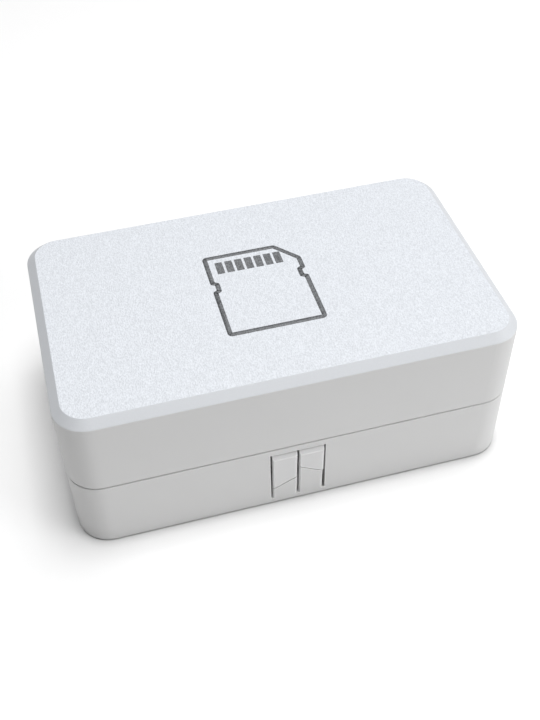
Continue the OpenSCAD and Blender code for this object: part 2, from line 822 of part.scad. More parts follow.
// Comb i of a rack, counted outwards: a plate between the end walls, with teeth on each side that
// faces cards
module comb(i) {
    intersection() {
        union() {
            translate([comb_left(i), rack_front + rack_end, rack_floor_top])
                cube([comb_thickness, rows * row_pitch, comb_height]);
            for (end = [-1, 1], j = [0:rows])
                if (i + (end + 1) / 2 > 0 && i + (end - 1) / 2 < rack_columns) {
                    root = comb_left(i) + comb_thickness * (end + 1) / 2;
                    translate([0, row_y(j), rack_floor_top])
                        along_x(min(root - end * weld, root + end * groove_depth),
                                max(root - end * weld, root + end * groove_depth))
                            comb_tooth();
                }
        }
        translate([0, 0, rack_floor_top - past])
            linear_extrude(comb_height + 2 * past)
                intersection() {
                    rack_outline();
                    translate([-rack_width, rack_front + rack_end])
                        square([2 * rack_width, rows * row_pitch]);
                }
    }
    comb_tongues(i);
}

// Cone of a countersunk head, its rim level with the racks' floor
module countersink() {
    depth = rack_screw_head_radius - rack_screw_radius;
    translate([0, 0, rack_floor_top - depth])
        cylinder(h = depth, r1 = rack_screw_radius, r2 = rack_screw_head_radius);
}

module right_side() { translate([rack_x, 0, 0]) children(); }
module left_side() { mirror([1, 0, 0]) right_side() children(); }

module card_rack_right() { color(grey) right_side() rack_tray(); }
module card_rack_left() { color(grey) left_side() rack_tray(); }

module comb_right_inner() { color(grey) right_side() comb(0); }
module comb_right_middle() { color(grey) right_side() for (i = [1:rack_columns - 1]) comb(i); }
module comb_right_outer() { color(grey) right_side() comb(rack_columns); }
module comb_left_inner() { color(grey) left_side() comb(0); }
module comb_left_middle() { color(grey) left_side() for (i = [1:rack_columns - 1]) comb(i); }
module comb_left_outer() { color(grey) left_side() comb(rack_columns); }

module countersunk_screws() {
    rack_screw_pair() {
        countersink();
        translate([0, 0, rack_screw_end + rack_screw_tip])
            cylinder(h = rack_floor_top - rack_screw_end - rack_screw_tip - rack_recess_depth,
                     r = rack_screw_radius);
    }
}

module card_rack_screws() {
    color(steel) {
        right_side() countersunk_screws();
        left_side() countersunk_screws();
    }
}

base_shell();
lid_shell();
hinge_pin_left();
hinge_pin_right();
latch_carrier();
latch_carrier_screws();
latch_pin();
latch_button_left();
latch_button_right();
button_spring_left();
button_spring_right();
lid_catch_left();
lid_catch_right();
lid_catch_screws();
card_rack_left();
comb_left_outer();
comb_left_middle();
comb_left_inner();
card_rack_right();
comb_right_inner();
comb_right_middle();
comb_right_outer();
card_rack_screws();
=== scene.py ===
# Memory card case: a hinged hard case of white moulded plastic with a printed lid, two press tabs and
# comb racks for the cards. The sections follow the case as it is put together on the bench, from the
# base up to the closed lid, and end with the pale studio it stands in. All sizes are in metres.
from math import cos, pi, radians, sin

import bmesh
import bpy
from mathutils import Matrix, Vector


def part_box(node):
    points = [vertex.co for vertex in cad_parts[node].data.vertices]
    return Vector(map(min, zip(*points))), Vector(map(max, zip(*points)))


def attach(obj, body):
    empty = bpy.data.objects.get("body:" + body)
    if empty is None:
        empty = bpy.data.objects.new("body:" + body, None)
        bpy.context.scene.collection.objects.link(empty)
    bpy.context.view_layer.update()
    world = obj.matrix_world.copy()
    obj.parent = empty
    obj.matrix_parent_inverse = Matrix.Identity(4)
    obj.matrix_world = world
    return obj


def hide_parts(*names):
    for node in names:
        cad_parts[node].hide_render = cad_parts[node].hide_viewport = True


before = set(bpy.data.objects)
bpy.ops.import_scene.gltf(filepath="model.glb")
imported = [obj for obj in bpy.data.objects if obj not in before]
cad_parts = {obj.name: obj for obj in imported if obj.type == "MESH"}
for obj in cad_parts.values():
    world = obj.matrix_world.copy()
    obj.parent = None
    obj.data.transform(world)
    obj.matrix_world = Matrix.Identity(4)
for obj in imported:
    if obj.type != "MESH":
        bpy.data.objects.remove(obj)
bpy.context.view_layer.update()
MM = 0.001


# Base shell. The lower half of the case with its floor, screw bosses and hinge knuckles, injection
# moulded in one piece of white plastic. The mould's sides are finely satin, every arris is a fifth of a
# millimetre soft, and the outward ones carry a painted highlight, a paler colour along the edge.
CASE_WHITE = (0.660, 0.660, 0.658)
WALL_ROUGHNESS, ROUGHNESS_PLAY = 0.46, 0.05
PLASTIC_IOR = 1.5
CLOUD_SIZE, CLOUDING = 14 * MM, 0.015
SATIN_GRAIN, SATIN_CRISPNESS, SATIN_DEPTH = 0.35 * MM, 0.6, 0.004 * MM
ARRIS = 0.20 * MM
# Painted highlight on outward arrises: how far from the edge it reaches, and how much paler it makes the
# colour.
HIGHLIGHT_ARRIS, HIGHLIGHT_GAIN = 0.40 * MM, 1.5
TURNED_FACING, FLAT_FACING = 0.94, 0.993
SHELTERED_AIR, OPEN_AIR = 0.60, 0.85
NOISE_LOW, NOISE_HIGH = 0.3, 0.7


def shade(colour, factor):
    return tuple(min(1.0, part * factor) for part in colour)


def opaque(colour):
    """The colour as a colour socket takes it: a link as it is, and a plain colour with its fourth part."""
    return colour if isinstance(colour, bpy.types.NodeSocket) else (*colour, 1)


class Nodes:
    """A node tree under construction: short calls that add nodes and link them."""

    def __init__(self, tree):
        self.tree = tree

    def add(self, kind, inputs=None, **settings):
        node = self.tree.nodes.new(kind)
        for key, value in settings.items():
            setattr(node, key, value)
        for socket, value in (inputs or {}).items():
            if isinstance(value, bpy.types.NodeSocket):
                self.tree.links.new(value, node.inputs[socket])
            else:
                node.inputs[socket].default_value = value
        return node

    def maths(self, operation, a, b=0.0):
        return self.add("ShaderNodeMath", {0: a, 1: b}, operation=operation).outputs[0]


class Finish(Nodes):
    """A material under construction, patterned on its object's own coordinates."""

    def __init__(self, name):
        self.material = bpy.data.materials.new(name)
        self.material.use_nodes = True
        super().__init__(self.material.node_tree)
        self.shader = self.tree.nodes["Principled BSDF"]
        self.place = self.add("ShaderNodeTexCoord").outputs["Object"]

    def noise(self, size, detail=3.0, roughness=0.5, distortion=0.0, place=None):
        """Noise with features of that size, from 0 to 1."""
        values = {"Vector": place or self.place, "Scale": 1 / size, "Detail": detail,
                  "Roughness": roughness, "Distortion": distortion}
        return self.add("ShaderNodeTexNoise", values).outputs["Fac"]

    def spread(self, value, low, high, start=0.0, end=1.0):
        """Maps start...end to low...high, and holds the ends."""
        values = {"Value": value, "From Min": start, "From Max": end, "To Min": low, "To Max": high}
        return self.add("ShaderNodeMapRange", values).outputs["Result"]

    def mix(self, share, a, b):
        """Colour a where share is 0 and colour b where it is 1."""
        values = {0: share, 6: opaque(a), 7: opaque(b)}
        return self.add("ShaderNodeMix", values, data_type="RGBA").outputs[2]

    def varied(self, pattern, colour, amount):
        """The colour, darker by that share where the pattern is 0 and paler by it where it is 1."""
        return self.mix(pattern, shade(colour, 1 - amount), shade(colour, 1 + amount))

    def bump(self, height, depth, under=None):
        values = {"Height": height, "Distance": depth, "Strength": 1.0}
        if under:
            values["Normal"] = under
        return self.add("ShaderNodeBump", values).outputs["Normal"]

    def soft_arris(self, radius):
        return self.add("ShaderNodeBevel", {"Radius": radius}, samples=6).outputs["Normal"]

    def open_air(self, reach):
        """1 where nothing stands within that reach in front of the surface, less in corners and gaps."""
        return self.add("ShaderNodeAmbientOcclusion", {"Distance": reach}, samples=6).outputs["AO"]

    def painted_arris_highlight(self, radius):
        """1 along outward arrises, where a highlight is painted into the colour, and 0 elsewhere. There the
        softened normal leaves the face's own, and nothing stands close by."""
        flat = self.add("ShaderNodeNewGeometry").outputs["True Normal"]
        facing = self.add("ShaderNodeVectorMath", {0: self.soft_arris(radius), 1: flat},
                          operation="DOT_PRODUCT").outputs["Value"]
        return self.maths("MULTIPLY", self.spread(facing, 1, 0, TURNED_FACING, FLAT_FACING),
                          self.spread(self.open_air(radius), 0, 1, SHELTERED_AIR, OPEN_AIR))

    def set(self, **sockets):
        """Sets or links the shader's sockets, given in small letters with _ for a space."""
        for key, value in sockets.items():
            socket = next(s for s in self.shader.inputs if s.name.lower().replace(" ", "_") == key)
            if isinstance(value, bpy.types.NodeSocket):
                self.tree.links.new(value, socket)
            else:
                socket.default_value = opaque(value) if socket.type == "RGBA" else value


def clouded(made, colour, amount):
    """The colour with faint clouds from the melt's flow."""
    return made.varied(made.noise(CLOUD_SIZE, 2), colour, amount)


def satin(made):
    """The fine spark texture of the mould's sides."""
    return made.noise(SATIN_GRAIN, 2, SATIN_CRISPNESS)


def moulded(name, colour, roughness, clouding=CLOUDING, highlight_reach=HIGHLIGHT_ARRIS):
    """Satin injection-moulded plastic, clouded and textured, with a painted highlight along outward
    arrises, within that radius.
    """
    made = Finish(name)
    texture = satin(made)
    # Along outward arrises the colour is paler: a painted highlight.
    made.set(base_color=made.mix(made.painted_arris_highlight(highlight_reach), clouded(made, colour, clouding),
                                 shade(colour, HIGHLIGHT_GAIN)),
             roughness=made.spread(texture, roughness - ROUGHNESS_PLAY, roughness + ROUGHNESS_PLAY,
                                   NOISE_LOW, NOISE_HIGH),
             normal=made.bump(texture, SATIN_DEPTH, made.soft_arris(ARRIS)), ior=PLASTIC_IOR)
    return made


def finish_nodes(finish, *nodes):
    for node in nodes:
        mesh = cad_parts[node].data
        mesh.materials.clear()
        mesh.materials.append(finish.material)


case_plastic = moulded("white_case_plastic", CASE_WHITE, WALL_ROUGHNESS)
finish_nodes(case_plastic, "base_shell")


# Latch. A white moulded carrier is screwed to two bosses behind the front wall, and both press buttons
# rock on the drawn steel pin through its cheeks, against flat springs. The buttons are moulded white too,
# a touch smoother, and with a wider painted highlight along their arrises. The screws are zinc-plated,
# with threads and cross recesses.
BUTTON_WHITE, BUTTON_ROUGHNESS, BUTTON_CLOUDING = (0.690, 0.690, 0.692), 0.40, 0.008
# How far the buttons' painted arris highlight reaches from the edge.
BUTTON_HIGHLIGHT_ARRIS = 0.50 * MM
STEEL, STEEL_ROUGHNESS = (0.56, 0.57, 0.59), 0.30
SPRING_STEEL, SPRING_ROUGHNESS = (0.36, 0.37, 0.41), 0.34
ZINC, ZINC_ROUGHNESS = (0.60, 0.61, 0.62), 0.33
DRAWN_ALONG_X, ROLLED_ALONG_Z, PLATED_EVENLY = (0.04, 1, 1), (1, 1, 0.05), (1, 1, 1)
MARK_SIZE, MARK_CRISPNESS, MARK_DEPTH = 0.12 * MM, 0.6, 0.003 * MM
MARK_BRIGHTER, MARK_DULLER = 0.08, 0.10
STAIN_SIZE, STAIN_DARK, STAIN_PALE = 2.5 * MM, 0.88, 1.08
LATCH_X = -0.8 * MM
SCREW_RADIUS, TIP_RADIUS, TIP_LENGTH = 1.0 * MM, 0.3 * MM, 0.5 * MM
PAN_HEAD = (1.8 * MM, 1.8 * MM, 1.2 * MM)
HEAD_WALL, HEAD_SHOULDER, HEAD_CROWN = 0.58, 0.27, 0.15
SHOULDER_WIDTH, CROWN_WIDTH = 0.93, 0.72
RECESS_LENGTH, RECESS_WIDTH, RECESS_LIFT = 1.05, 0.24, 0.9
THREAD_PITCH, THREAD_DEPTH, THREAD_STEPS, THREAD_SIDES = 0.45 * MM, 0.18 * MM, 20, 4
TURNED_WELD = 1e-4 * MM
SHARP_ANGLE = radians(32)
CARRIER_SCREW_LENGTH = 5.2 * MM
CARRIER_SCREW_OFFSET, CARRIER_SCREW_Y, CARRIER_SCREW_Z = 10.2 * MM, -30.0 * MM, 6.6 * MM


def new_object(name, data):
    made = bpy.data.objects.new(name, data)
    bpy.context.scene.collection.objects.link(made)
    return made


class Tree(Nodes):
    """A geometry-nodes group under construction, run once on a mesh to make a plain mesh."""

    def __init__(self, name, **sizes):
        super().__init__(bpy.data.node_groups.new(name, "GeometryNodeTree"))
        sockets = self.tree.interface
        sockets.new_socket("Geometry", in_out="OUTPUT", socket_type="NodeSocketGeometry")
        sockets.new_socket("Geometry", in_out="INPUT", socket_type="NodeSocketGeometry")
        self.sizes = sizes
        for key, value in sizes.items():
            kind = "NodeSocketInt" if isinstance(value, int) else "NodeSocketFloat"
            sockets.new_socket(key, in_out="INPUT", socket_type=kind)
        self.inputs = self.add("NodeGroupInput").outputs
        self.end = self.add("NodeGroupOutput")

    def vector(self, x=0.0, y=0.0, z=0.0):
        return self.add("ShaderNodeCombineXYZ", {"X": x, "Y": y, "Z": z}).outputs[0]

    def move(self, geometry, place=(0, 0, 0), turn=(0, 0, 0)):
        values = {"Geometry": geometry, "Rotation": turn, "Translation": place}
        return self.add("GeometryNodeTransform", values).outputs[0]

    def join(self, *parts):
        node = self.add("GeometryNodeJoinGeometry")
        for part in parts:
            self.tree.links.new(part, node.inputs[0])
        return node.outputs[0]

    def close(self, open_below, bottom, weld):
        """Closes a mesh that was extruded from that bottom face, and welds the seam."""
        underside = self.add("GeometryNodeFlipFaces", {0: bottom}).outputs[0]
        return self.add("GeometryNodeMergeByDistance",
                        {0: self.join(open_below, underside), "Distance": weld}).outputs[0]

    def sweep(self, path, section):
        values = {"Curve": path, "Profile Curve": section, "Fill Caps": True}
        return self.add("GeometryNodeCurveToMesh", values).outputs[0]

    def lathe(self, radius, steps, sides=28):
        """A closed turned solid, built upwards from a disc by (rise, new radius) steps."""
        disc = self.add("GeometryNodeMeshCircle", {"Vertices": sides, "Radius": radius},
                        fill_type="NGON").outputs[0]
        mesh, top = disc, True
        for rise, new_radius in steps:
            risen = self.add("GeometryNodeExtrudeMesh",
                             {"Mesh": mesh, "Selection": top, "Offset Scale": rise, "Individual": False})
            ratio = self.maths("DIVIDE", new_radius, radius)
            mesh = self.add("GeometryNodeScaleElements",
                            {"Geometry": risen.outputs["Mesh"], "Selection": risen.outputs["Top"],
                             "Scale": ratio}).outputs[0]
            top, radius = risen.outputs["Top"], new_radius
        return self.close(mesh, disc, TURNED_WELD)

    def make(self, geometry, finish, name, start=None):
        """Realises the geometry with that finish, and returns it as a plain mesh object."""
        real = self.add("GeometryNodeRealizeInstances", {0: geometry}).outputs[0]
        painted = self.add("GeometryNodeSetMaterial", {0: real, "Material": finish.material}).outputs[0]
        self.tree.links.new(painted, self.end.inputs[0])
        host = new_object(name + "_host", start or bpy.data.meshes.new(name + "_host"))
        modifier = host.modifiers.new("nodes", "NODES")
        modifier.node_group = self.tree
        for item in self.tree.interface.items_tree:
            if item.in_out == "INPUT" and item.name in self.sizes:
                modifier[item.identifier] = self.sizes[item.name]
        graph = bpy.context.evaluated_depsgraph_get()
        mesh = bpy.data.meshes.new_from_object(host.evaluated_get(graph))
        bpy.data.objects.remove(host)
        return new_object(name, mesh)


def drawn_steel(name, colour, roughness, along):
    """Steel with fine marks drawn out along the axis where along is small."""
    made = Finish(name)
    drawn_out = made.add("ShaderNodeMapping", {"Vector": made.place, "Scale": along}).outputs[0]
    marks = made.noise(MARK_SIZE, 3, MARK_CRISPNESS, place=drawn_out)
    stain = made.noise(STAIN_SIZE, 2)
    made.set(base_color=made.mix(stain, shade(colour, STAIN_DARK), shade(colour, STAIN_PALE)),
             roughness=made.spread(marks, roughness - MARK_BRIGHTER, roughness + MARK_DULLER,
                                   NOISE_LOW, NOISE_HIGH),
             normal=made.bump(marks, MARK_DEPTH), metallic=1.0)
    return made


def screws(name, body, places, length, head, turn=(0, 0, 0)):
    """Cross-recessed screws with their heads' undersides at those places, driven along -Z before the
    turn. The head is its underside's radius, its radius and its height. Its wall, shoulder and crown
    and the recess's lift are shares of that height, and all widths are shares of its radius."""
    tree = Tree(name, shank_radius=SCREW_RADIUS, under_radius=head[0], head_radius=head[1],
                head_height=head[2], shank_length=length, thread_pitch=THREAD_PITCH,
                thread_depth=THREAD_DEPTH)
    size = tree.inputs

    def share(key, factor):
        return tree.maths("MULTIPLY", size[key], factor)

    core = tree.maths("SUBTRACT", size["shank_radius"], size["thread_depth"])
    shank = tree.maths("SUBTRACT", size["shank_length"], TIP_LENGTH)
    turned = tree.lathe(TIP_RADIUS, [(TIP_LENGTH, core), (shank, core), (0.0, size["under_radius"]),
                                     (share("head_height", HEAD_WALL), size["head_radius"]),
                                     (share("head_height", HEAD_SHOULDER),
                                      share("head_radius", SHOULDER_WIDTH)),
                                     (share("head_height", HEAD_CROWN),
                                      share("head_radius", CROWN_WIDTH))])
    lowered = tree.move(turned, tree.vector(z=share("shank_length", -1.0)))
    slot_size = tree.vector(share("head_radius", RECESS_LENGTH), share("head_radius", RECESS_WIDTH),
                            size["head_height"])
    slot = tree.add("GeometryNodeMeshCube", {"Size": slot_size}).outputs[0]
    cross = tree.join(slot, tree.move(slot, turn=(0, 0, pi / 2)))
    raised = tree.move(cross, tree.vector(z=share("head_height", RECESS_LIFT)))
    cut = tree.add("GeometryNodeMeshBoolean",
                   {"Mesh 1": lowered, "Mesh 2": raised, "Self Intersection": True},
                   operation="DIFFERENCE", solver="EXACT").outputs[0]
    helix = tree.add("GeometryNodeCurveSpiral",
                     {"Resolution": THREAD_STEPS, "Start Radius": core, "End Radius": core, "Height": shank,
                      "Rotations": tree.maths("DIVIDE", shank, size["thread_pitch"])}).outputs[0]
    ridge = tree.add("GeometryNodeCurvePrimitiveCircle",
                     {"Resolution": THREAD_SIDES, "Radius": size["thread_depth"]},
                     mode="RADIUS").outputs[0]
    thread = tree.move(tree.sweep(helix, ridge), tree.vector(z=tree.maths("MULTIPLY", shank, -1.0)))
    spots = tree.add("GeometryNodeMeshToPoints", {0: size["Geometry"]}).outputs[0]
    driven = tree.add("GeometryNodeInstanceOnPoints",
                      {"Points": spots, "Instance": tree.join(cut, thread), "Rotation": turn}).outputs[0]
    start = bpy.data.meshes.new(name + "_places")
    start.from_pydata(places, [], [])
    piece = tree.make(driven, screw_steel, name + "_detailed", start)
    piece.data.shade_smooth()
    piece.data.set_sharp_from_angle(angle=SHARP_ANGLE)
    finish_nodes(screw_steel, name)
    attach(piece, body)
    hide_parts(name)


button_plastic = moulded("white_button_plastic", BUTTON_WHITE, BUTTON_ROUGHNESS, BUTTON_CLOUDING,
                         BUTTON_HIGHLIGHT_ARRIS)
pin_steel = drawn_steel("pin_steel", STEEL, STEEL_ROUGHNESS, DRAWN_ALONG_X)
spring_steel = drawn_steel("spring_steel", SPRING_STEEL, SPRING_ROUGHNESS, ROLLED_ALONG_Z)
screw_steel = drawn_steel("zinc_plated_steel", ZINC, ZINC_ROUGHNESS, PLATED_EVENLY)
finish_nodes(case_plastic, "latch_carrier")
finish_nodes(pin_steel, "latch_pin")
finish_nodes(button_plastic, "latch_button_left", "latch_button_right")
finish_nodes(spring_steel, "button_spring_left", "button_spring_right")
screws("latch_carrier_screws", "base",
       [(LATCH_X + side * CARRIER_SCREW_OFFSET, CARRIER_SCREW_Y, CARRIER_SCREW_Z) for side in (-1, 1)],
       CARRIER_SCREW_LENGTH, PAN_HEAD)


# Card racks. Two grey trays lie on bosses of the base, each with three combs whose tongues stand in the
# tray's floor, and two countersunk screws hold each tray down. The grey is dyed through and satin.
RACK_GREY, RACK_ROUGHNESS, RACK_CLOUDING = (0.215, 0.225, 0.238), 0.44, 0.05
COUNTERSUNK_HEAD = (1.0 * MM, 1.9 * MM, 0.9 * MM)
RACK_SCREW_X, RACK_SCREW_Y = (14.45 * MM, 40.65 * MM), (-14.1 * MM, 18.9 * MM)
RACK_SCREW_Z, RACK_SCREW_LENGTH = 3.7 * MM, 2.2 * MM

rack_plastic = moulded("grey_rack_plastic", RACK_GREY, RACK_ROUGHNESS, RACK_CLOUDING)
for side in ("left", "right"):
    finish_nodes(rack_plastic, f"card_rack_{side}", f"comb_{side}_outer", f"comb_{side}_middle",
                 f"comb_{side}_inner")
screws("card_rack_screws", "base",
       [(side * x, y, RACK_SCREW_Z) for side in (-1, 1) for x, y in zip(RACK_SCREW_X, RACK_SCREW_Y)],
       RACK_SCREW_LENGTH, COUNTERSUNK_HEAD)


# Hinge pins. Two plain pins of the same drawn steel as the latch's, one for each hinge at the back.
# They are pressed into the base's knuckles, and the lid's knuckles turn freely on them.
finish_nodes(pin_steel, "hinge_pin_left", "hinge_pin_right")


# Lid shell. The upper half, moulded in the same white. Its flat top has a coarse leather grain from the
# mould and looks cooler than the smooth bevelled rim and the satin sides round it: its white carries a
# painted cool tint of the light from above, and its grain painted shade, darker in the creases and paler
# on the crests. The rim is a darker white with half that painted tint.
# The top's white carries a painted cool tint of the light from above, and the rim's white half of it; the
# grain's painted shading makes the creases darker and the crests paler.
TOP_WHITE_PAINTED_COOL_LIGHT, TOP_GRAIN_PAINTED_SHADE, TOP_ROUGHNESS = (0.646, 0.671, 0.710), 0.125, 0.62
RIM_WHITE_PAINTED_COOL_LIGHT, RIM_FLECKS = (0.583, 0.600, 0.625), 0.04
TOP_GRAIN, TOP_GRAIN_DEPTH, SIDE_GRAIN_SHARE = 0.28 * MM, 0.06 * MM, 0.10
GRAIN_STRETCH = (1, 0.5, 1)
WIDE_GRAIN, WIDE_GRAIN_SHARE, WIDE_GRAIN_TWIST = 2.5, 0.25, 0.6
CREASE, CREST = 0.32, 0.68
TOP_EDGE, RIM_HEIGHT = 0.05 * MM, 1.9 * MM


def top_grain(made):
    """Short crumpled wrinkles that run roughly from back to front: 0 in the creases, 1 on the crests."""
    drawn_out = made.add("ShaderNodeMapping", {"Vector": made.place, "Scale": GRAIN_STRETCH}).outputs[0]
    fine = made.noise(TOP_GRAIN, 1, place=drawn_out)
    wide = made.noise(TOP_GRAIN * WIDE_GRAIN, 1, distortion=WIDE_GRAIN_TWIST, place=drawn_out)
    both = made.maths("ADD", made.maths("MULTIPLY", fine, 1 - WIDE_GRAIN_SHARE),
                      made.maths("MULTIPLY", wide, WIDE_GRAIN_SHARE))
    return made.spread(both, 0, 1, CREASE, CREST)


lid_plastic = Finish("white_lid_plastic")
top_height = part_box("lid_shell")[1].z
rim_foot = top_height - RIM_HEIGHT
height = lid_plastic.add("ShaderNodeSeparateXYZ", {0: lid_plastic.place}).outputs["Z"]
on_top = lid_plastic.spread(height, 0, 1, top_height - TOP_EDGE, top_height - TOP_EDGE / 3)
on_rim = lid_plastic.spread(height, 0, 1, rim_foot, rim_foot + TOP_EDGE)
grain = top_grain(lid_plastic)
side_texture = satin(lid_plastic)
# The sides' own white, and on the rim a darker white with half the painted cool tint.
sides_and_painted_rim = lid_plastic.mix(on_rim, clouded(lid_plastic, CASE_WHITE, CLOUDING),
                              lid_plastic.varied(side_texture, RIM_WHITE_PAINTED_COOL_LIGHT, RIM_FLECKS))
# The top's colour: the painted cool tint, darker in the grain's creases and paler on its crests as painted
# shading.
top_painted_light = lid_plastic.varied(grain, TOP_WHITE_PAINTED_COOL_LIGHT, TOP_GRAIN_PAINTED_SHADE)
texture = lid_plastic.maths("ADD", lid_plastic.maths("MULTIPLY", side_texture, SIDE_GRAIN_SHARE),
                            lid_plastic.maths("MULTIPLY", grain, on_top))
lid_plastic.set(base_color=lid_plastic.mix(on_top, sides_and_painted_rim, top_painted_light),
                roughness=lid_plastic.spread(on_top, WALL_ROUGHNESS, TOP_ROUGHNESS),
                normal=lid_plastic.bump(texture, TOP_GRAIN_DEPTH, lid_plastic.soft_arris(ARRIS)),
                ior=PLASTIC_IOR)
finish_nodes(lid_plastic, "lid_shell")


# Printed sign. The outline of a memory card with its cut corner, side notches and seven contact bars,
# screen printed on the grained top in dark grey ink that lies a few hundredths thick on the crests.
INK_GREY, INK_DARK, INK_PALE, INK_ROUGHNESS = (0.130, 0.135, 0.142), 0.55, 1.7, 0.55
INK_THICKNESS = 0.03 * MM
SIGN_LINE = 1.25 * MM
SIGN_CORNER, NOTCH_CORNER, SIGN_CORNER_STEPS = 0.62 * MM, 0.12 * MM, 6
SIGN_LEFT, SIGN_RIGHT = -12.3 * MM, 11.7 * MM
SIGN_TOP, SIGN_BOTTOM = 13.55 * MM, -15.7 * MM
SIGN_CUT_X, SIGN_CUT_Y = 6.4 * MM, 7.5 * MM
NOTCH_TOP, NOTCH_BOTTOM = 3.7 * MM, 0.0 * MM
NOTCH_DEPTH, NOTCH_SLOPE = 1.05 * MM, 0.6 * MM
BAR_COUNT = 7
BAR_FIRST_X, BAR_PITCH = -9.15 * MM, 2.6 * MM
BAR_WIDTH, BAR_HEIGHT, BAR_TOP = 1.95 * MM, 4.5 * MM, 11.35 * MM
BAR_CORNER, BAR_CORNER_STEPS = 0.12 * MM, 4
BAR_WELD = 1e-3 * MM


def card_outline():
    """The card's outline, anticlockwise from the cut corner, as the middle of the printed line."""
    notch = [(0, NOTCH_TOP), (NOTCH_DEPTH, NOTCH_TOP - NOTCH_SLOPE),
             (NOTCH_DEPTH, NOTCH_BOTTOM + NOTCH_SLOPE), (0, NOTCH_BOTTOM)]
    path = [(SIGN_CUT_X, SIGN_TOP), (SIGN_LEFT, SIGN_TOP)]
    path += [(SIGN_LEFT + depth, y) for depth, y in notch]
    path += [(SIGN_LEFT, SIGN_BOTTOM), (SIGN_RIGHT, SIGN_BOTTOM)]
    path += [(SIGN_RIGHT - depth, y) for depth, y in reversed(notch)]
    return path + [(SIGN_RIGHT, SIGN_CUT_Y)]


def rectangle(tree, width, height):
    values = {"Width": width, "Height": height}
    return tree.add("GeometryNodeCurvePrimitiveQuadrilateral", values).outputs[0]


def rounded(tree, path, radius, steps):
    values = {"Curve": path, "Radius": radius, "Count": steps}
    return tree.add("GeometryNodeFilletCurve", values, mode="POLY").outputs[0]


def printed_line(tree, outline):
    """The outline as one flat line of ink, its corners rounded and those of the notches less so."""
    size = tree.inputs
    position = tree.add("GeometryNodeInputPosition").outputs[0]
    up_the_sign = tree.add("ShaderNodeSeparateXYZ", {0: position}).outputs["Y"]
    from_notch = tree.maths("ABSOLUTE",
                            tree.maths("SUBTRACT", up_the_sign, (NOTCH_TOP + NOTCH_BOTTOM) / 2))
    at_notch = tree.maths("LESS_THAN", from_notch, NOTCH_TOP - NOTCH_BOTTOM)
    radius = tree.maths("SUBTRACT", size["corner_radius"],
                        tree.maths("MULTIPLY", at_notch, SIGN_CORNER - NOTCH_CORNER))
    line = tree.sweep(rounded(tree, outline, radius, SIGN_CORNER_STEPS),
                      rectangle(tree, size["line_width"], size["ink_thickness"]))
    return tree.move(line, (0, 0, INK_THICKNESS / 2))


def printed_bars(tree):
    """The row of contact bars, each a thin closed block of ink with small round corners."""
    size = tree.inputs
    edge = rounded(tree, rectangle(tree, size["bar_width"], size["bar_height"]), BAR_CORNER,
                   BAR_CORNER_STEPS)
    face = tree.add("GeometryNodeFillCurve", {0: edge}, mode="NGONS").outputs[0]
    raised = tree.add("GeometryNodeExtrudeMesh",
                      {"Mesh": face, "Offset Scale": size["ink_thickness"],
                       "Individual": False}).outputs["Mesh"]
    places = tree.add("GeometryNodeMeshLine",
                      {"Count": size["bar_count"], "Offset": tree.vector(size["bar_pitch"])}).outputs[0]
    row = tree.add("GeometryNodeInstanceOnPoints",
                   {"Points": places, "Instance": tree.close(raised, face, BAR_WELD)}).outputs[0]
    return tree.move(row, (BAR_FIRST_X, BAR_TOP - BAR_HEIGHT / 2, 0))


ink = Finish("dark_grey_ink")
ink_grain = top_grain(ink)
ink.set(base_color=ink.mix(ink_grain, shade(INK_GREY, INK_DARK), shade(INK_GREY, INK_PALE)),
        roughness=INK_ROUGHNESS, normal=ink.bump(ink_grain, TOP_GRAIN_DEPTH), ior=PLASTIC_IOR)

curve = bpy.data.curves.new("sign_path", "CURVE")
curve.dimensions = "3D"
line = curve.splines.new("POLY")
corners = card_outline()
line.points.add(len(corners) - 1)
for point, (x, y) in zip(line.points, corners):
    point.co = (x, y, 0, 1)
line.use_cyclic_u = True
path_object = bpy.data.objects.new("sign_path", curve)

sign = Tree("card_sign", line_width=SIGN_LINE, corner_radius=SIGN_CORNER, ink_thickness=INK_THICKNESS,
            bar_count=BAR_COUNT, bar_pitch=BAR_PITCH, bar_width=BAR_WIDTH, bar_height=BAR_HEIGHT)
path = sign.add("GeometryNodeObjectInfo", {"Object": path_object}).outputs["Geometry"]
whole = sign.join(printed_line(sign, path), printed_bars(sign))
card_sign = sign.make(sign.move(whole, (0, 0, top_height)), ink, "printed_card_sign")
bpy.data.objects.remove(path_object)
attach(card_sign, "lid")


# Lid hooks. Two springy hooks of natural acetal, cream and slightly translucent, each screwed to a pad
# inside the lid's front wall with two pan-head screws. Their teeth catch under the base's ledge.
HOOK_CREAM, HOOK_ROUGHNESS, HOOK_CLOUDING = (0.700, 0.680, 0.600), 0.36, 0.02
HOOK_GLOW, HOOK_GLOW_DEPTHS, HOOK_GLOW_SCALE = 0.15, (0.6, 0.5, 0.4), 0.5 * MM
HOOK_OFFSET, HOOK_SCREW_Y = 3.525 * MM, -29.5 * MM
HOOK_SCREW_HEIGHTS = (28.1 * MM, 32.5 * MM)
HOOK_SCREW_LENGTH = 4.2 * MM
DRIVEN_FORWARDS = (-pi / 2, 0, 0)

hook_plastic = moulded("cream_hook_plastic", HOOK_CREAM, HOOK_ROUGHNESS, HOOK_CLOUDING)
hook_plastic.set(subsurface_weight=HOOK_GLOW, subsurface_radius=HOOK_GLOW_DEPTHS,
                 subsurface_scale=HOOK_GLOW_SCALE)
finish_nodes(hook_plastic, "lid_catch_left", "lid_catch_right")
screws("lid_catch_screws", "lid",
       [(LATCH_X + side * HOOK_OFFSET, HOOK_SCREW_Y, z) for side in (-1, 1) for z in HOOK_SCREW_HEIGHTS],
       HOOK_SCREW_LENGTH, PAN_HEAD, DRIVEN_FORWARDS)


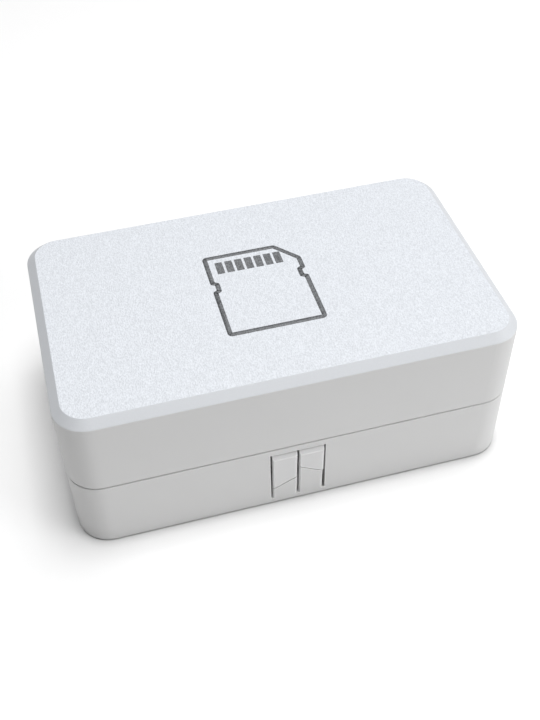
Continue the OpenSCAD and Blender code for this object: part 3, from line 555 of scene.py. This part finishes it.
# Studio. The case stands on a round white floor inside a white surround that is only looked at and
# gives no light. A soft panel hangs overhead, a larger one leans in from the back right, and a low one
# at the front right lights the upright sides.
FLOOR_RADIUS, FLOOR_SEGMENTS = 0.6, 64
FLOOR_WHITE, FLOOR_CLOUD, FLOOR_CLOUDING = (0.93, 0.93, 0.93), 0.3, 0.005
FLOOR_ROUGHNESS, FLOOR_SPECULAR = 0.9, 0.1
# Painted contact shadow on the floor: its reach, how dark it gets, and where it starts and ends.
CONTACT_REACH, CONTACT_SHADE = 4.0 * MM, 0.6
CONTACT_CLOSE, CONTACT_CLEAR = 0.25, 0.85
SURROUND_RADIUS, SURROUND_SEGMENTS = 6.0, 48
SURROUND_CLOUD, SURROUND_DARK, SURROUND_PALE = 2.0, 1.05, 1.07
BLACK = (0.0, 0.0, 0.0)
ROOM_WHITE = 0.02
TOP_PLACE, TOP_SIZE, TOP_POWER = Vector((0.0, -0.10, 1.09)), 0.5, 8.0
HIGH_PLACE, HIGH_SIZE, HIGH_POWER = Vector((0.26, 0.22, 1.05)), 0.8, 6.2
LOW_PLACE, LOW_SIZE, LOW_POWER = Vector((0.85, -0.58, 0.38)), 0.6, 4.8


def studio_object(name, shape, paint):
    mesh = bpy.data.meshes.new(name)
    shape.to_mesh(mesh)
    shape.free()
    mesh.materials.append(paint.material)
    return new_object(name, mesh)


def panel(name, place, size, power):
    """A square soft light at that place, turned to the case and not seen by the camera."""
    light = bpy.data.lights.new(name, "AREA")
    light.size = size
    light.energy = power
    lamp = new_object(name, light)
    lamp.location = place
    lamp.rotation_euler = (-place).to_track_quat("-Z", "Y").to_euler()
    lamp.visible_camera = False


floor_paint = Finish("floor_paint")
clean = floor_paint.varied(floor_paint.noise(FLOOR_CLOUD), FLOOR_WHITE, FLOOR_CLOUDING)
# The floor is painted darker where the case stands close above it: a painted contact shadow.
painted_contact_shadow = floor_paint.spread(floor_paint.open_air(CONTACT_REACH), 1, 0, CONTACT_CLOSE, CONTACT_CLEAR)
floor_paint.set(base_color=floor_paint.mix(painted_contact_shadow, clean, shade(FLOOR_WHITE, CONTACT_SHADE)),
                roughness=FLOOR_ROUGHNESS, specular_ior_level=FLOOR_SPECULAR)
floor_shape = bmesh.new()
bmesh.ops.create_circle(floor_shape, cap_ends=True, segments=FLOOR_SEGMENTS, radius=FLOOR_RADIUS)
floor = studio_object("floor", floor_shape, floor_paint)

surround_paint = Finish("surround_paint")
glow = surround_paint.mix(surround_paint.noise(SURROUND_CLOUD), shade(FLOOR_WHITE, SURROUND_DARK),
                          shade(FLOOR_WHITE, SURROUND_PALE))
surround_paint.set(base_color=BLACK, emission_color=glow, emission_strength=1.0)
surround_shape = bmesh.new()
bmesh.ops.create_uvsphere(surround_shape, u_segments=SURROUND_SEGMENTS,
                          v_segments=SURROUND_SEGMENTS // 2, radius=SURROUND_RADIUS)
surround = studio_object("surround", surround_shape, surround_paint)
for ray in ("diffuse", "glossy", "transmission", "volume_scatter", "shadow"):
    setattr(surround, "visible_" + ray, False)

panel("overhead_panel", TOP_PLACE, TOP_SIZE, TOP_POWER)
panel("high_panel", HIGH_PLACE, HIGH_SIZE, HIGH_POWER)
panel("low_panel", LOW_PLACE, LOW_SIZE, LOW_POWER)

world = bpy.data.worlds.new("room")
world.use_nodes = True
background = world.node_tree.nodes["Background"]
background.inputs["Color"].default_value = (1, 1, 1, 1)
background.inputs["Strength"].default_value = ROOM_WHITE
bpy.context.scene.world = world
bpy.context.scene.view_settings.view_transform = "Standard"


# Camera. It stands where the photograph was taken from: a little to the left of the front, looking down
# at 46 degrees, and rolled a little to the left.
CAMERA_AZIMUTH, CAMERA_ELEVATION, CAMERA_ROLL = radians(-14.2044), radians(45.9427), radians(-1.4530)
CAMERA_AIM, CAMERA_DISTANCE = Vector((1.3637 * MM, 0, 16.7102 * MM)), 273.468 * MM
CAMERA_LENS, FILM_HEIGHT = 49.565, 36.0
NEAREST, FARTHEST = 0.01, 50.0

back = Vector((sin(CAMERA_AZIMUTH) * cos(CAMERA_ELEVATION), -cos(CAMERA_AZIMUTH) * cos(CAMERA_ELEVATION),
               sin(CAMERA_ELEVATION)))
across = Vector((0, 0, 1)).cross(back).normalized()
up = back.cross(across)
across, up = (across * cos(CAMERA_ROLL) + up * sin(CAMERA_ROLL),
              up * cos(CAMERA_ROLL) - across * sin(CAMERA_ROLL))
camera_data = bpy.data.cameras.new("camera")
camera_data.sensor_width = FILM_HEIGHT
camera_data.lens = CAMERA_LENS
camera_data.clip_start, camera_data.clip_end = NEAREST, FARTHEST
camera = new_object("camera", camera_data)
camera.matrix_world = (Matrix.Translation(CAMERA_AIM + back * CAMERA_DISTANCE)
                       @ Matrix((across, up, back)).transposed().to_4x4())
bpy.context.scene.camera = camera
